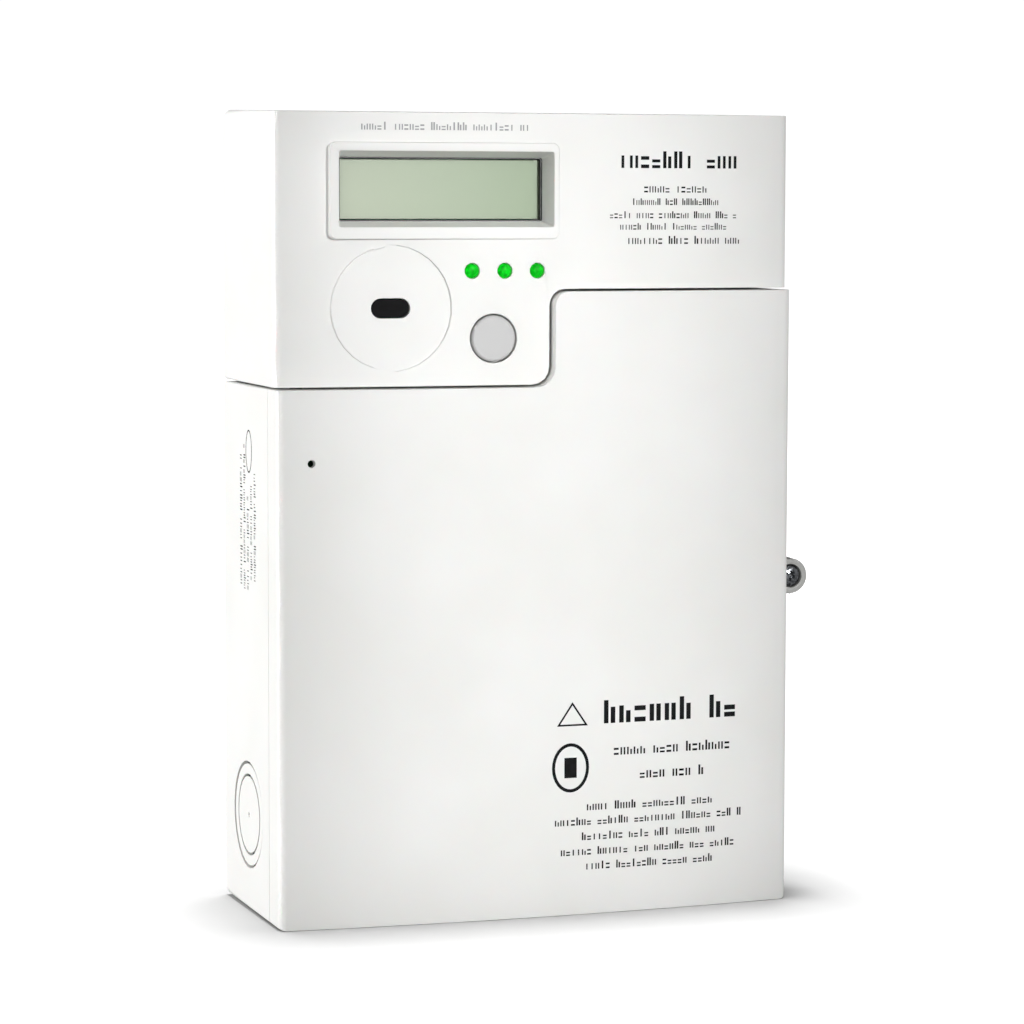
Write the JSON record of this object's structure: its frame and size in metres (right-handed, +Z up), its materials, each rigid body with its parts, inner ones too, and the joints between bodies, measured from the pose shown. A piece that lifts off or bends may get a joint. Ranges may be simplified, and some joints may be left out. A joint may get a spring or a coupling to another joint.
{
  "type": "smart electric meter",
  "caption": "Wall-mounted smart electric meter: plug-in module with display, optical port, indicator lamps and push button above a screwed L-shaped terminal cover on a wall base.",
  "frame": {"origin": "centre of the wall face, the flat back of the base", "axes": "+X to the right seen from the front, +Y into the wall, +Z up"},
  "size_m": [0.1558, 0.0582, 0.22],
  "materials": {
    "white_shell": "fine satin moulded polycarbonate",
    "zinc_steel": "zinc plated",
    "brass": "turned",
    "circuit_board": "solder mask over glass fibre",
    "grey_plastic": "satin",
    "green_plastic": "satin",
    "black_plastic": "satin",
    "red_plastic": "satin",
    "clear_window": "clear polycarbonate",
    "lcd_glass": "grey green reflective cell",
    "diffuser": "frosted",
    "infrared_window": "dark infrared filter",
    "blue_plastic": "satin",
    "green_lens": "tinted lens",
    "transformer_core": "varnished laminations",
    "varnish": "dipped coating"
  },
  "bodies": {
    "wall_base": {"base_housing": "white_shell", "knockout_ring": "white_shell", "knockout_plug": "white_shell", "board_screw_1": "zinc_steel", "board_screw_2": "zinc_steel", "board_screw_3": "zinc_steel", "board_screw_4": "zinc_steel", "ct_screw_1": "zinc_steel", "ct_screw_2": "zinc_steel", "ct_screw_3": "zinc_steel", "ct_screw_4": "zinc_steel", "voltage_screw_1": "zinc_steel", "voltage_screw_2": "zinc_steel", "voltage_screw_3": "zinc_steel", "screw_insert": "brass", "terminal_board": "circuit_board", "ct_terminal_block": "grey_plastic", "voltage_terminal_block": "green_plastic", "ct_switch_body_a": "black_plastic", "ct_switch_body_b": "black_plastic", "module_socket": "black_plastic"},
    "meter_module": {"module_case": "white_shell", "module_rear_cover": "white_shell", "rear_cover_screw_1": "zinc_steel", "rear_cover_screw_2": "zinc_steel", "rear_cover_screw_3": "zinc_steel", "rear_cover_screw_4": "zinc_steel", "display_window": "clear_window", "lcd_bezel": "black_plastic", "lcd_panel": "lcd_glass", "lcd_backlight": "diffuser", "optical_window": "infrared_window", "port_steel_ring": "zinc_steel", "ir_emitter": "blue_plastic", "ir_receiver": "black_plastic", "indicator_lens_1": "green_lens", "indicator_lens_2": "green_lens", "indicator_lens_3": "green_lens", "tact_switch": "black_plastic", "main_board": "circuit_board", "power_transformer": "transformer_core", "supply_capacitor": "blue_plastic", "surge_varistor": "varnish", "backup_battery": "grey_plastic", "processor_chip": "black_plastic", "metering_chip": "black_plastic", "timing_crystal": "zinc_steel", "module_plug": "black_plastic", "plug_contacts": "brass", "module_screw_left": "zinc_steel", "module_screw_right": "zinc_steel"},
    "demand_button": {"demand_button": "grey_plastic"},
    "terminal_cover": {"terminal_cover": "white_shell"},
    "screw_clip": {"screw_clip": "zinc_steel"},
    "seal_screw": {"seal_screw": "zinc_steel"},
    "ct_switch_knob_a": {"ct_switch_knob_a": "red_plastic"},
    "ct_switch_knob_b": {"ct_switch_knob_b": "red_plastic"}
  },
  "joints": [
    {"name": "module_unplug", "type": "slide", "parent": "wall_base", "child": "meter_module", "axis": [0, -1, 0], "range_m": [0, 0.024]},
    {"name": "button_press", "type": "slide", "parent": "meter_module", "child": "demand_button", "axis": [0, 1, 0], "range_m": [0, 0.0012], "stiffness_N_per_m": 400, "springref_m": -0.001},
    {"name": "cover_lift_off", "type": "slide", "parent": "wall_base", "child": "terminal_cover", "axis": [0, -1, 0], "range_m": [0, 0.06]},
    {"name": "seal_screw_travel", "type": "slide", "parent": "terminal_cover", "child": "screw_clip", "axis": [0, -1, 0], "range_m": [0, 0.0042]},
    {"name": "seal_screw_turn", "type": "hinge", "parent": "screw_clip", "child": "seal_screw", "pos_m": [0.0768, -0.047, -0.0196], "axis": [0, -1, 0], "range_deg": [0, 2520.01]},
    {"name": "ct_switch_a_slide", "type": "slide", "parent": "wall_base", "child": "ct_switch_knob_a", "axis": [1, 0, 0], "range_m": [0, 0.005]},
    {"name": "ct_switch_b_slide", "type": "slide", "parent": "wall_base", "child": "ct_switch_knob_b", "axis": [1, 0, 0], "range_m": [0, 0.005]}
  ],
  "couplings": [
    {"joint": "seal_screw_turn", "follows": "seal_screw_travel", "rad_per_m": 10472}
  ]
}
